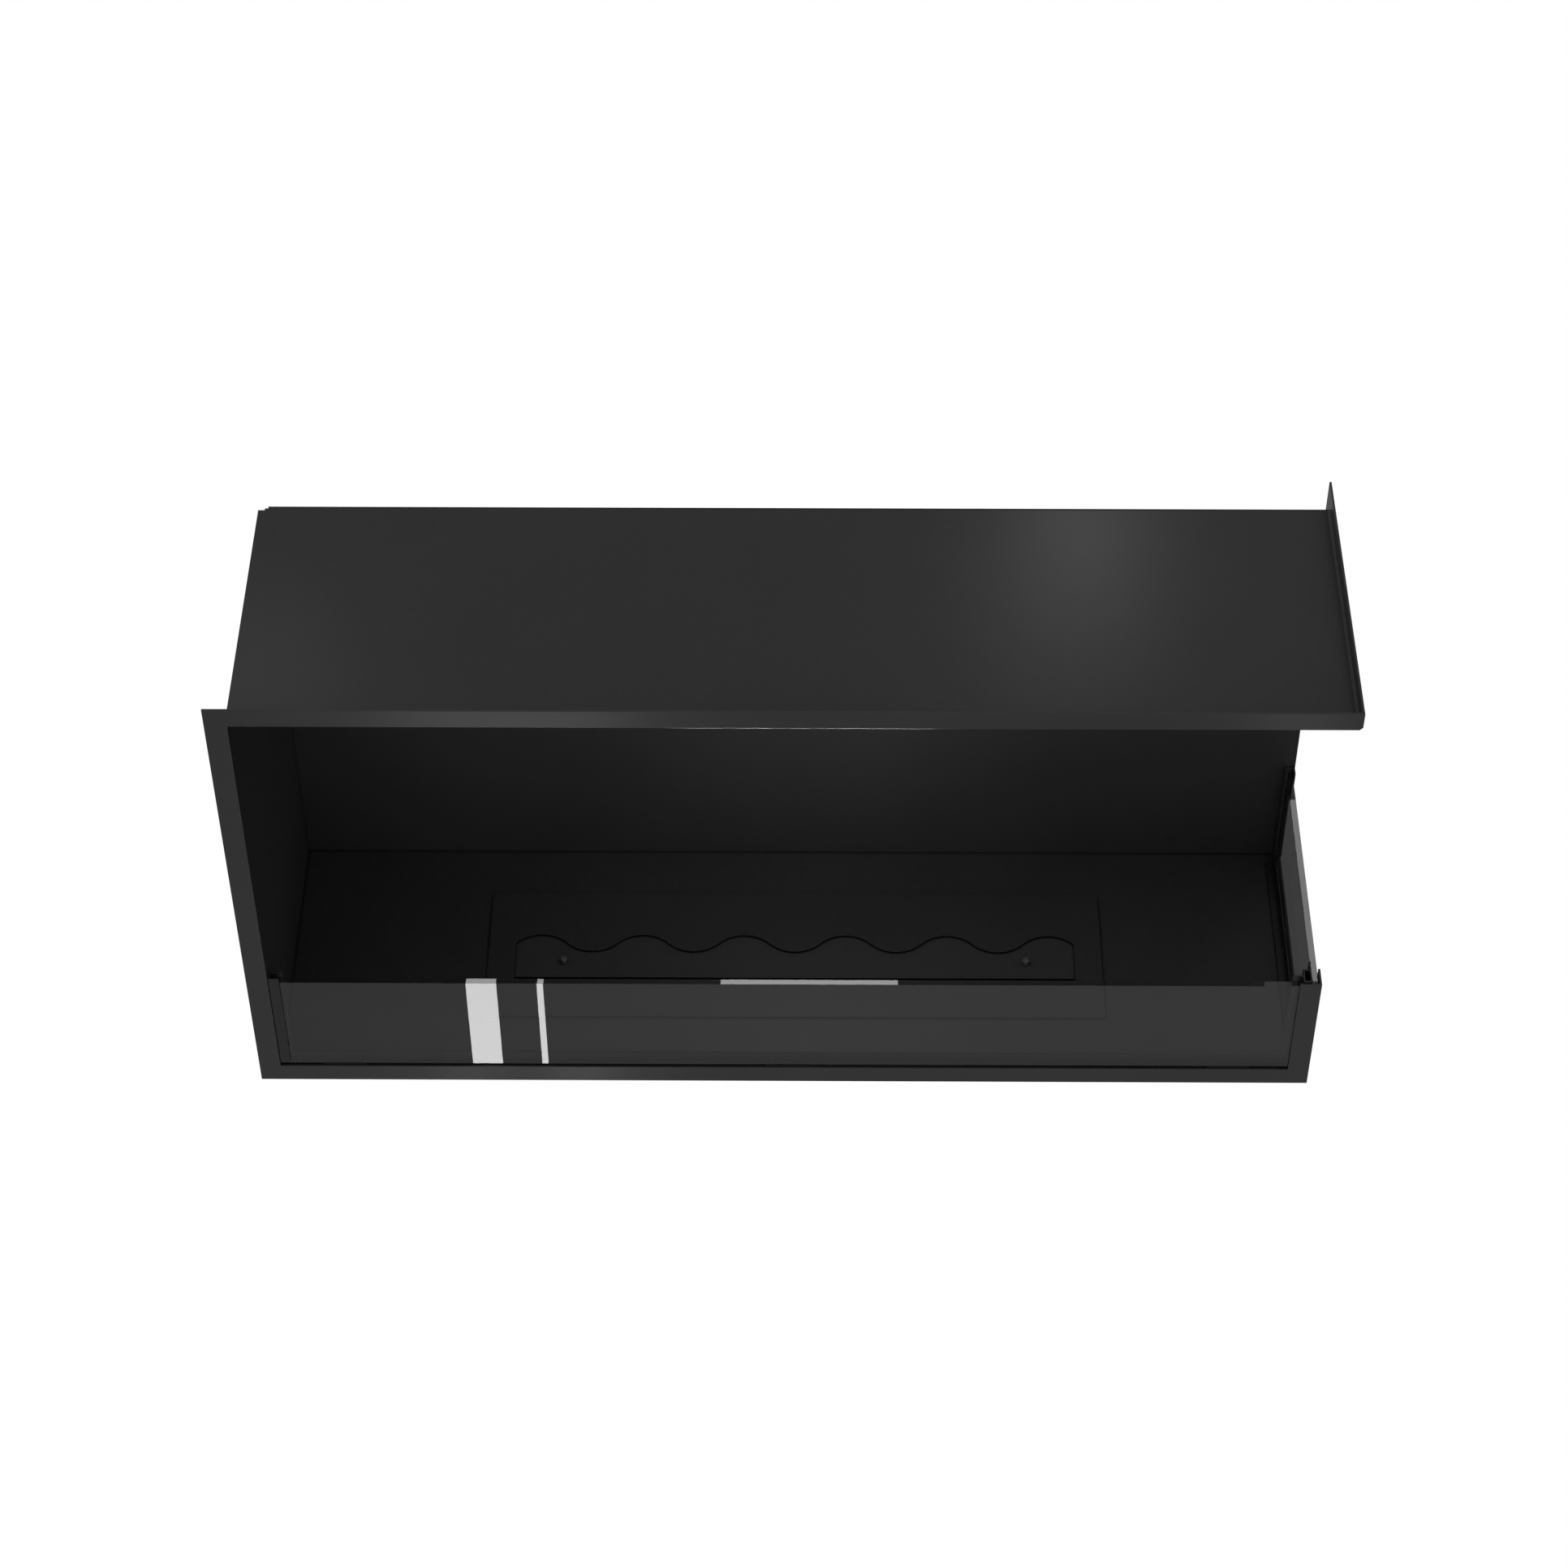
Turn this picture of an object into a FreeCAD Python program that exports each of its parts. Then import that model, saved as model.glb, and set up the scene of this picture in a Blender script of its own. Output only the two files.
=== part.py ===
"""Built-in bioethanol fireplace insert, glazed on its front and right side.

Millimetres. +X runs along the width, +Y goes back from the front frame and +Z is up. The origin
is the middle of the overall box, at its lowest face, which is the underside of the burner well.
"""

import FreeCAD, Part
import os

Vector = FreeCAD.Vector

# ---- overall sizes ----
FRAME_WIDTH = 1000.0
FRAME_HEIGHT = 500.0
FRAME_DEPTH = 300.0
WELL_DROP = 20.0

# ---- trim frames and casing ----
TRIM_WIDTH = 20.0
FRAME_SHEET = 2.0
CASING_SHEET = 2.0
POST_HEIGHT = 124.0
TRIM_END_CHAMFER = 3.0
NOTCH_ALONG = 6.0
NOTCH_BACK = 5.0
WALL_HOLE_DIAMETER = 8.0
WALL_HOLE_SPAN = 800.0
WALL_HOLE_RISE = 200.0
WALL_HOLE_BELOW_TOP = 40.0

# ---- glass guards and what holds them ----
GLASS_THICKNESS = 6.0
GLASS_HEIGHT = 118.0
GLASS_FRAME_GAP = 0.3
GLASS_LIP_GAP = 0.5
GLASS_END_GAP = 0.3
GLASS_BEHIND_POST = 3.0
PAD_HEIGHT = 1.0
PAD_LENGTH = 40.0
PAD_INSET = 60.0
FRONT_PAD_COUNT = 3
SIDE_PAD_COUNT = 2
CHANNEL_SHEET = 1.5
CHANNEL_HEIGHT = 126.0
CHANNEL_FRONT_LIP = 9.5
CHANNEL_LIP_START = 6.0
CHANNEL_REAR_LIP = 13.0
CHANNEL_SHADOW_GAP = 1.0
RAIL_HEIGHT = 10.0
RAIL_FOOT = 10.0
CORNER_CHANNEL_DEPTH = 15.5
CORNER_LIP = 10.0

# ---- burner ----
COVER_LENGTH = 600.0
COVER_WIDTH = 160.0
COVER_SHEET = 2.0
COVER_CORNER = 5.0
COVER_SETBACK = 62.0
WINDOW_LENGTH = 547.0
WINDOW_FROM_COVER_FRONT = 47.0
WINDOW_DEPTH = 47.0
WAVE_HEIGHT = 10.6
HALF_WAVES = 11
BOX_SHEET = 1.5
BOX_FLOOR_OVERLAP = 10.0
BOX_CLEARANCE = 2.0
BOX_WELL_CLEARANCE = 2.0
BOX_UNDER_GAP = 4.5

# ---- damper ----
DAMPER_SHEET = 2.0
DAMPER_TOP_GAP = 0.3
DAMPER_SIDE_OVERLAP = 6.0
DAMPER_REAR_OVERLAP = 4.0
DAMPER_FRONT_GAP = 4.5
SLIDE_CLEARANCE = 0.1
DAMPER_RAIL_OVERLAP = 9.0
DAMPER_RAIL_LENGTH = 110.0
DAMPER_RAIL_LEG = 5.0
KNOB_FROM_WINDOW_END = 48.0
KNOB_FROM_WINDOW_FRONT = 22.0
KNOB_STEM_DIAMETER = 4.6
KNOB_STEM_HEIGHT = 5.0
KNOB_HEAD_DIAMETER = 6.4
KNOB_HEAD_HEIGHT = 3.5
KNOB_CHAMFER = 0.6
SCREW_DIAMETER = 3.0
SCREW_HEAD_DIAMETER = 5.5
SCREW_HEAD_HEIGHT = 2.0
SCREW_DEPTH = 5.0
SCREW_CLEARANCE = 0.1

# ---- fuel tank ----
TANK_SHEET = 1.5
TANK_CLEARANCE = 6.0
TANK_HEIGHT = 20.0
SLOT_LENGTH = 520.0
SLOT_WIDTH = 26.0
WOOL_CLEARANCE = 0.5
WOOL_HEIGHT = 12.0

# ---- places worked out from the sizes ----
LEFT = -FRAME_WIDTH / 2
RIGHT = FRAME_WIDTH / 2
FRONT = -FRAME_DEPTH / 2
REAR = FRAME_DEPTH / 2
FRAME_BOTTOM = WELL_DROP
FRAME_TOP = FRAME_BOTTOM + FRAME_HEIGHT
CASING_FRONT = FRONT + FRAME_SHEET
SIDE_PLANE = RIGHT - FRAME_SHEET
INNER_LEFT = LEFT + TRIM_WIDTH
INNER_REAR = REAR - TRIM_WIDTH
FLOOR_TOP = FRAME_BOTTOM + TRIM_WIDTH
FLOOR_UNDERSIDE = FLOOR_TOP - CASING_SHEET
INNER_TOP = FRAME_TOP - TRIM_WIDTH
POST_TOP = FLOOR_TOP + POST_HEIGHT
CHANNEL_TOP = FLOOR_TOP + CHANNEL_HEIGHT

GLASS_BOTTOM = FLOOR_TOP + PAD_HEIGHT
GLASS_TOP = GLASS_BOTTOM + GLASS_HEIGHT
FRONT_PANE_FACE = CASING_FRONT + GLASS_FRAME_GAP
FRONT_PANE_BACK = FRONT_PANE_FACE + GLASS_THICKNESS
FRONT_LIP_FACE = FRONT_PANE_BACK + GLASS_LIP_GAP
FRONT_PANE_LEFT = INNER_LEFT + CHANNEL_SHEET + GLASS_END_GAP
FRONT_PANE_RIGHT = RIGHT - TRIM_WIDTH + GLASS_BEHIND_POST
SIDE_PANE_FACE = SIDE_PLANE - GLASS_FRAME_GAP
SIDE_PANE_BACK = SIDE_PANE_FACE - GLASS_THICKNESS
SIDE_LIP_FACE = SIDE_PANE_BACK - GLASS_LIP_GAP
SIDE_PANE_FRONT = CASING_FRONT + GLASS_END_GAP
SIDE_PANE_REAR = INNER_REAR - CHANNEL_SHEET - GLASS_END_GAP
CORNER_CHANNEL_LEFT = FRONT_PANE_RIGHT + GLASS_END_GAP
CORNER_CHANNEL_REAR = CASING_FRONT + CORNER_CHANNEL_DEPTH

BURNER_X = (INNER_LEFT + RIGHT) / 2
COVER_FRONT = FRONT + COVER_SETBACK
COVER_MIDDLE = COVER_FRONT + COVER_WIDTH / 2
COVER_TOP = FLOOR_TOP + COVER_SHEET
WINDOW_LEFT = BURNER_X - WINDOW_LENGTH / 2
WINDOW_RIGHT = BURNER_X + WINDOW_LENGTH / 2
WINDOW_FRONT = COVER_FRONT + WINDOW_FROM_COVER_FRONT
WAVE_LINE = WINDOW_FRONT + WINDOW_DEPTH

CUTOUT_LENGTH = COVER_LENGTH - 2 * BOX_FLOOR_OVERLAP
CUTOUT_WIDTH = COVER_WIDTH - 2 * BOX_FLOOR_OVERLAP
BOX_LENGTH = CUTOUT_LENGTH - 2 * BOX_CLEARANCE
BOX_WIDTH = CUTOUT_WIDTH - 2 * BOX_CLEARANCE
WELL_LENGTH = CUTOUT_LENGTH + 2 * BOX_WELL_CLEARANCE
WELL_WIDTH = CUTOUT_WIDTH + 2 * BOX_WELL_CLEARANCE
BOX_BOTTOM = BOX_SHEET + BOX_UNDER_GAP
BOX_INSIDE_LENGTH = BOX_LENGTH - 2 * BOX_SHEET
BOX_INSIDE_WIDTH = BOX_WIDTH - 2 * BOX_SHEET

DAMPER_TOP = FLOOR_TOP - DAMPER_TOP_GAP
DAMPER_UNDERSIDE = DAMPER_TOP - DAMPER_SHEET
DAMPER_LEFT = WINDOW_LEFT - DAMPER_SIDE_OVERLAP
DAMPER_RIGHT = WINDOW_RIGHT + DAMPER_SIDE_OVERLAP
KNOB_LINE = WINDOW_FRONT + KNOB_FROM_WINDOW_FRONT
KNOB_PLACES = {"left": WINDOW_LEFT + KNOB_FROM_WINDOW_END, "right": WINDOW_RIGHT - KNOB_FROM_WINDOW_END}

TANK_LENGTH = BOX_INSIDE_LENGTH - 2 * TANK_CLEARANCE
TANK_WIDTH = BOX_INSIDE_WIDTH - 2 * TANK_CLEARANCE
TANK_BOTTOM = BOX_BOTTOM + BOX_SHEET
TANK_TOP = TANK_BOTTOM + TANK_HEIGHT


def block(x_range, y_range, z_range):
    """A box from its lowest and highest place along each axis."""
    low = Vector(x_range[0], y_range[0], z_range[0])
    size = (x_range[1] - x_range[0], y_range[1] - y_range[0], z_range[1] - z_range[0])
    return Part.makeBox(size[0], size[1], size[2], low)


def centred_block(length, width, z_range):
    """A box over the middle of the burner, by its length along X and its width along Y."""
    x_range = (BURNER_X - length / 2, BURNER_X + length / 2)
    y_range = (COVER_MIDDLE - width / 2, COVER_MIDDLE + width / 2)
    return block(x_range, y_range, z_range)


def one_solid(shapes):
    """The shapes joined into one solid, with the seams between them taken out."""
    joined = shapes[0].multiFuse(shapes[1:]).removeSplitter()
    return joined.Solids[0]


def prism(points, travel):
    """A closed outline of corner points pushed along the travel vector."""
    corners = [Vector(*point) for point in points]
    outline = Part.makePolygon(corners + corners[:1])
    return Part.Face(outline).extrude(travel)


def cylinder(diameter, height, base):
    """An upright round bar on its base point."""
    return Part.makeCylinder(diameter / 2, height, base, Vector(0, 0, 1))


# ---- trim frames ----
def front_frame():
    """Flat front trim: top, left and bottom strips and the front leg of the corner post."""
    right_inner = RIGHT - TRIM_WIDTH
    outline = [
        (LEFT, FRONT, FRAME_BOTTOM),
        (RIGHT, FRONT, FRAME_BOTTOM),
        (RIGHT, FRONT, POST_TOP),
        (right_inner, FRONT, POST_TOP),
        (right_inner, FRONT, FLOOR_TOP),
        (INNER_LEFT, FRONT, FLOOR_TOP),
        (INNER_LEFT, FRONT, INNER_TOP),
        (RIGHT - TRIM_END_CHAMFER, FRONT, INNER_TOP),
        (RIGHT, FRONT, INNER_TOP + TRIM_END_CHAMFER),
        (RIGHT, FRONT, FRAME_TOP),
        (LEFT, FRONT, FRAME_TOP),
    ]
    return prism(outline, Vector(0, FRAME_SHEET, 0))


def side_frame():
    """Flat trim of the open side: top, rear and bottom strips and the post's side leg."""
    post_rear = FRONT + TRIM_WIDTH
    outline = [
        (SIDE_PLANE, CASING_FRONT, FRAME_BOTTOM),
        (SIDE_PLANE, REAR, FRAME_BOTTOM),
        (SIDE_PLANE, REAR, FRAME_TOP),
        (SIDE_PLANE, CASING_FRONT, FRAME_TOP),
        (SIDE_PLANE, CASING_FRONT, INNER_TOP + TRIM_END_CHAMFER),
        (SIDE_PLANE, CASING_FRONT + TRIM_END_CHAMFER, INNER_TOP),
        (SIDE_PLANE, INNER_REAR, INNER_TOP),
        (SIDE_PLANE, INNER_REAR, FLOOR_TOP),
        (SIDE_PLANE, post_rear, FLOOR_TOP),
        (SIDE_PLANE, post_rear, POST_TOP),
        (SIDE_PLANE, CASING_FRONT, POST_TOP),
    ]
    return prism(outline, Vector(FRAME_SHEET, 0, 0))


# ---- casing ----
def corner_notch():
    """The bend relief at the casing's upper left rear corner."""
    x_range = (INNER_LEFT - CASING_SHEET, INNER_LEFT - CASING_SHEET + NOTCH_ALONG)
    y_range = (INNER_REAR + CASING_SHEET - NOTCH_BACK, INNER_REAR + CASING_SHEET)
    z_range = (INNER_TOP - NOTCH_BACK, INNER_TOP + CASING_SHEET)
    step_y = (y_range[0] + NOTCH_BACK / 2, y_range[1])
    step = block((x_range[1], x_range[1] + NOTCH_ALONG / 2), step_y, z_range)
    return block(x_range, y_range, z_range).fuse(step)


def top_panel():
    """The casing's roof, from the left side to the side frame."""
    x_range = (INNER_LEFT - CASING_SHEET, SIDE_PLANE)
    z_range = (INNER_TOP, INNER_TOP + CASING_SHEET)
    return block(x_range, (CASING_FRONT, INNER_REAR), z_range).cut(corner_notch())


def back_panel():
    """The casing's back, with four wall-fixing holes above the flame."""
    x_range = (INNER_LEFT - CASING_SHEET, SIDE_PLANE)
    y_range = (INNER_REAR, INNER_REAR + CASING_SHEET)
    z_range = (FLOOR_UNDERSIDE, INNER_TOP + CASING_SHEET)
    panel = block(x_range, y_range, z_range).cut(corner_notch())
    upper = INNER_TOP - WALL_HOLE_BELOW_TOP
    holes = []
    for x in (BURNER_X - WALL_HOLE_SPAN / 2, BURNER_X + WALL_HOLE_SPAN / 2):
        for z in (upper - WALL_HOLE_RISE, upper):
            base = Vector(x, INNER_REAR - CASING_SHEET, z)
            radius = WALL_HOLE_DIAMETER / 2
            holes.append(Part.makeCylinder(radius, 3 * CASING_SHEET, base, Vector(0, 1, 0)))
    return panel.cut(holes)


def left_side_panel():
    """The casing's closed left side."""
    x_range = (INNER_LEFT - CASING_SHEET, INNER_LEFT)
    panel = block(x_range, (CASING_FRONT, INNER_REAR), (FLOOR_TOP, INNER_TOP))
    return panel.cut(corner_notch())


def floor_panel():
    """The hearth floor, cut out for the drop-in burner."""
    x_range = (INNER_LEFT - CASING_SHEET, SIDE_PLANE)
    floor = block(x_range, (CASING_FRONT, INNER_REAR), (FLOOR_UNDERSIDE, FLOOR_TOP))
    return floor.cut(centred_block(CUTOUT_LENGTH, CUTOUT_WIDTH, (FLOOR_UNDERSIDE, FLOOR_TOP)))


def burner_well():
    """The tray welded under the floor, which catches spilt fuel and carries the insert."""
    outer = centred_block(
        WELL_LENGTH + 2 * BOX_SHEET, WELL_WIDTH + 2 * BOX_SHEET, (0.0, FLOOR_UNDERSIDE)
    )
    return outer.cut(centred_block(WELL_LENGTH, WELL_WIDTH, (BOX_SHEET, FLOOR_UNDERSIDE)))


# ---- glass guards ----
def front_glass():
    """The tempered pane across the front."""
    x_range = (FRONT_PANE_LEFT, FRONT_PANE_RIGHT)
    return block(x_range, (FRONT_PANE_FACE, FRONT_PANE_BACK), (GLASS_BOTTOM, GLASS_TOP))


def side_glass():
    """The tempered pane across the open side."""
    y_range = (SIDE_PANE_FRONT, SIDE_PANE_REAR)
    return block((SIDE_PANE_BACK, SIDE_PANE_FACE), y_range, (GLASS_BOTTOM, GLASS_TOP))


def pad_centres(low, high, count):
    """Evenly spaced pad middles along a pane, with the end pads set in from its ends."""
    first = low + PAD_INSET
    step = (high - low - 2 * PAD_INSET) / (count - 1)
    return [first + step * index for index in range(count)]


def front_glass_pads():
    """Silicone pads that the front pane stands on."""
    pads = []
    for x in pad_centres(FRONT_PANE_LEFT, FRONT_PANE_RIGHT, FRONT_PAD_COUNT):
        x_range = (x - PAD_LENGTH / 2, x + PAD_LENGTH / 2)
        y_range = (FRONT_PANE_FACE, FRONT_PANE_BACK)
        pads.append(block(x_range, y_range, (FLOOR_TOP, GLASS_BOTTOM)))
    return Part.makeCompound(pads)


def side_glass_pads():
    """Silicone pads that the side pane stands on."""
    pads = []
    for y in pad_centres(SIDE_PANE_FRONT, SIDE_PANE_REAR, SIDE_PAD_COUNT):
        y_range = (y - PAD_LENGTH / 2, y + PAD_LENGTH / 2)
        x_range = (SIDE_PANE_BACK, SIDE_PANE_FACE)
        pads.append(block(x_range, y_range, (FLOOR_TOP, GLASS_BOTTOM)))
    return Part.makeCompound(pads)


def glass_channel_left():
    """The upright channel on the left side panel, round the front pane's end."""
    lip_low = CASING_FRONT - CHANNEL_SHEET
    lip_x = (INNER_LEFT + CHANNEL_SHADOW_GAP, INNER_LEFT + CHANNEL_SHADOW_GAP + CHANNEL_FRONT_LIP)
    lip_z = (FLOOR_TOP + CHANNEL_LIP_START, CHANNEL_TOP)
    front_lip = block(lip_x, (lip_low, CASING_FRONT), lip_z)
    rear_face = FRONT_LIP_FACE + CHANNEL_SHEET
    full_height = (FLOOR_TOP, CHANNEL_TOP)
    web = block((INNER_LEFT, INNER_LEFT + CHANNEL_SHEET), (CASING_FRONT, rear_face), full_height)
    rear_lip = block((INNER_LEFT, INNER_LEFT + CHANNEL_REAR_LIP), (FRONT_LIP_FACE, rear_face), full_height)
    return one_solid([web, front_lip, rear_lip])


def glass_channel_rear():
    """The upright channel on the back panel, round the side pane's end."""
    lip_y = (INNER_REAR - CHANNEL_SHADOW_GAP - CHANNEL_FRONT_LIP, INNER_REAR - CHANNEL_SHADOW_GAP)
    lip_z = (FLOOR_TOP + CHANNEL_LIP_START, CHANNEL_TOP)
    outer_lip = block((SIDE_PLANE, SIDE_PLANE + CHANNEL_SHEET), lip_y, lip_z)
    inner_face = SIDE_LIP_FACE - CHANNEL_SHEET
    full_height = (FLOOR_TOP, CHANNEL_TOP)
    web = block((inner_face, SIDE_PLANE), (INNER_REAR - CHANNEL_SHEET, INNER_REAR), full_height)
    inner_lip = block((inner_face, SIDE_LIP_FACE), (INNER_REAR - CHANNEL_REAR_LIP, INNER_REAR), full_height)
    return one_solid([web, outer_lip, inner_lip])


def glass_channel_corner():
    """The hollow upright behind the post and inside the side pane, with a lip behind each pane."""
    full_height = (FLOOR_TOP, CHANNEL_TOP)
    left, right, rear = CORNER_CHANNEL_LEFT, SIDE_LIP_FACE, CORNER_CHANNEL_REAR
    tube = block((left, right), (CASING_FRONT, rear), full_height)
    inside_x = (left + CHANNEL_SHEET, right - CHANNEL_SHEET)
    inside_y = (CASING_FRONT + CHANNEL_SHEET, rear - CHANNEL_SHEET)
    tube = tube.cut(block(inside_x, inside_y, full_height))
    front_lip_y = (FRONT_LIP_FACE, FRONT_LIP_FACE + CHANNEL_SHEET)
    front_lip = block((left - CORNER_LIP, left), front_lip_y, full_height)
    side_lip_x = (right - CHANNEL_SHEET, right)
    side_lip = block(side_lip_x, (rear - CHANNEL_SHEET, rear + CORNER_LIP), full_height)
    return one_solid([tube, front_lip, side_lip])


def front_glass_rail():
    """The low angle on the floor behind the front pane."""
    x_range = (INNER_LEFT + CHANNEL_REAR_LIP, CORNER_CHANNEL_LEFT - CORNER_LIP)
    lip_y = (FRONT_LIP_FACE, FRONT_LIP_FACE + CHANNEL_SHEET)
    lip = block(x_range, lip_y, (FLOOR_TOP, FLOOR_TOP + RAIL_HEIGHT))
    foot = block(x_range, (FRONT_LIP_FACE, FRONT_LIP_FACE + RAIL_FOOT), (FLOOR_TOP, FLOOR_TOP + CHANNEL_SHEET))
    return one_solid([lip, foot])


def side_glass_rail():
    """The low angle on the floor behind the side pane."""
    y_range = (CORNER_CHANNEL_REAR + CORNER_LIP, INNER_REAR - CHANNEL_REAR_LIP)
    lip_x = (SIDE_LIP_FACE - CHANNEL_SHEET, SIDE_LIP_FACE)
    lip = block(lip_x, y_range, (FLOOR_TOP, FLOOR_TOP + RAIL_HEIGHT))
    foot = block((SIDE_LIP_FACE - RAIL_FOOT, SIDE_LIP_FACE), y_range, (FLOOR_TOP, FLOOR_TOP + CHANNEL_SHEET))
    return one_solid([lip, foot])


# ---- burner ----
def wave_edges(y_line, z):
    """The wavy edge along the window, from left to right, as arcs that swing back and front."""
    step = WINDOW_LENGTH / HALF_WAVES
    edges = []
    for index in range(HALF_WAVES):
        start = WINDOW_LEFT + step * index
        swing = WAVE_HEIGHT if index % 2 == 0 else -WAVE_HEIGHT
        first = Vector(start, y_line, z)
        middle = Vector(start + step / 2, y_line + swing, z)
        last = Vector(start + step, y_line, z)
        edges.append(Part.Arc(first, middle, last).toShape())
    return edges


def line(start, end):
    """A straight edge between two points."""
    return Part.makeLine(Vector(*start), Vector(*end))


def wave_window(z_range):
    """The space of the cover's window: straight at the front, wavy at the rear."""
    z = z_range[0]
    front_left = (WINDOW_LEFT, WINDOW_FRONT, z)
    front_right = (WINDOW_RIGHT, WINDOW_FRONT, z)
    edges = [line(front_left, (WINDOW_LEFT, WAVE_LINE, z))]
    edges += wave_edges(WAVE_LINE, z)
    edges += [line((WINDOW_RIGHT, WAVE_LINE, z), front_right), line(front_right, front_left)]
    return Part.Face(Part.Wire(edges)).extrude(Vector(0, 0, z_range[1] - z))


def burner_cover():
    """The cover plate that lies on the floor and carries the burner."""
    plate = centred_block(COVER_LENGTH, COVER_WIDTH, (FLOOR_TOP, COVER_TOP))
    corners = [edge for edge in plate.Edges if abs(edge.BoundBox.ZLength - COVER_SHEET) < 0.01]
    plate = plate.makeFillet(COVER_CORNER, corners)
    return plate.cut(wave_window((FLOOR_TOP, COVER_TOP)))


def burner_box():
    """The open-topped box welded under the cover plate."""
    outer = centred_block(BOX_LENGTH, BOX_WIDTH, (BOX_BOTTOM, FLOOR_TOP))
    return outer.cut(centred_block(BOX_INSIDE_LENGTH, BOX_INSIDE_WIDTH, (TANK_BOTTOM, FLOOR_TOP)))


def fuel_tank():
    """The stainless steel fuel tray inside the burner box."""
    outer = centred_block(TANK_LENGTH, TANK_WIDTH, (TANK_BOTTOM, TANK_TOP))
    inside_length = TANK_LENGTH - 2 * TANK_SHEET
    inside_width = TANK_WIDTH - 2 * TANK_SHEET
    return outer.cut(centred_block(inside_length, inside_width, (TANK_BOTTOM + TANK_SHEET, TANK_TOP)))


def flame_slot_plate():
    """The tank's lid, with the long slot that the flame comes out of."""
    z_range = (TANK_TOP, TANK_TOP + TANK_SHEET)
    lid = centred_block(TANK_LENGTH, TANK_WIDTH, z_range)
    slot_x = (BURNER_X - SLOT_LENGTH / 2, BURNER_X + SLOT_LENGTH / 2)
    slot_rear = WAVE_LINE + WAVE_HEIGHT
    return lid.cut(block(slot_x, (slot_rear - SLOT_WIDTH, slot_rear), z_range))


def ceramic_wool():
    """The absorbent ceramic wool block that soaks up the fuel."""
    margin = TANK_SHEET + WOOL_CLEARANCE
    length = TANK_LENGTH - 2 * margin
    width = TANK_WIDTH - 2 * margin
    base = TANK_BOTTOM + TANK_SHEET
    return centred_block(length, width, (base, base + WOOL_HEIGHT))


# ---- damper ----
def damper():
    """The sliding plate under the cover's window, which snuffs and sizes the flame."""
    z = DAMPER_UNDERSIDE
    front = WINDOW_FRONT + DAMPER_FRONT_GAP
    rear_line = WAVE_LINE + DAMPER_REAR_OVERLAP
    edges = [line((DAMPER_LEFT, front, z), (DAMPER_LEFT, rear_line, z))]
    edges += [line((DAMPER_LEFT, rear_line, z), (WINDOW_LEFT, rear_line, z))]
    edges += wave_edges(rear_line, z)
    edges += [line((WINDOW_RIGHT, rear_line, z), (DAMPER_RIGHT, rear_line, z))]
    edges += [line((DAMPER_RIGHT, rear_line, z), (DAMPER_RIGHT, front, z))]
    edges += [line((DAMPER_RIGHT, front, z), (DAMPER_LEFT, front, z))]
    plate = Part.Face(Part.Wire(edges)).extrude(Vector(0, 0, DAMPER_SHEET))
    hole_diameter = SCREW_DIAMETER + 2 * SCREW_CLEARANCE
    holes = [cylinder(hole_diameter, DAMPER_SHEET, Vector(x, KNOB_LINE, z)) for x in KNOB_PLACES.values()]
    return plate.cut(holes)


def damper_rail(side):
    """The angle welded to one end of the burner box, which the damper slides on."""
    sign = -1 if side == "left" else 1
    wall = BURNER_X + sign * BOX_INSIDE_LENGTH / 2
    damper_end = DAMPER_LEFT if side == "left" else DAMPER_RIGHT
    ledge_end = damper_end - sign * DAMPER_RAIL_OVERLAP
    top = DAMPER_UNDERSIDE - SLIDE_CLEARANCE
    y_range = (COVER_MIDDLE - DAMPER_RAIL_LENGTH / 2, COVER_MIDDLE + DAMPER_RAIL_LENGTH / 2)
    ledge = block(sorted((wall, ledge_end)), y_range, (top - BOX_SHEET, top))
    leg_x = sorted((wall, wall - sign * BOX_SHEET))
    leg = block(leg_x, y_range, (top - DAMPER_RAIL_LEG, top))
    return one_solid([ledge, leg])


def damper_knob(side):
    """A turned knob on the damper, for the poker that moves it when it is hot."""
    base = Vector(KNOB_PLACES[side], KNOB_LINE, DAMPER_TOP)
    head_base = base + Vector(0, 0, KNOB_STEM_HEIGHT)
    stem = cylinder(KNOB_STEM_DIAMETER, KNOB_STEM_HEIGHT, base)
    head = cylinder(KNOB_HEAD_DIAMETER, KNOB_HEAD_HEIGHT, head_base)
    rims = [edge for edge in head.Edges if len(edge.Vertexes) == 1]
    head = head.makeChamfer(KNOB_CHAMFER, rims)
    bore = cylinder(SCREW_DIAMETER + 2 * SCREW_CLEARANCE, SCREW_DEPTH + SCREW_CLEARANCE, base)
    return one_solid([stem, head]).cut(bore)


def knob_screws():
    """The two screws that hold the knobs from under the damper."""
    screws = []
    for x in KNOB_PLACES.values():
        seat = Vector(x, KNOB_LINE, DAMPER_UNDERSIDE)
        head_base = seat - Vector(0, 0, SCREW_HEAD_HEIGHT)
        head = cylinder(SCREW_HEAD_DIAMETER, SCREW_HEAD_HEIGHT, head_base)
        shank = cylinder(SCREW_DIAMETER, DAMPER_SHEET + SCREW_DEPTH, seat)
        screws.append(one_solid([head, shank]))
    return Part.makeCompound(screws)


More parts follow.
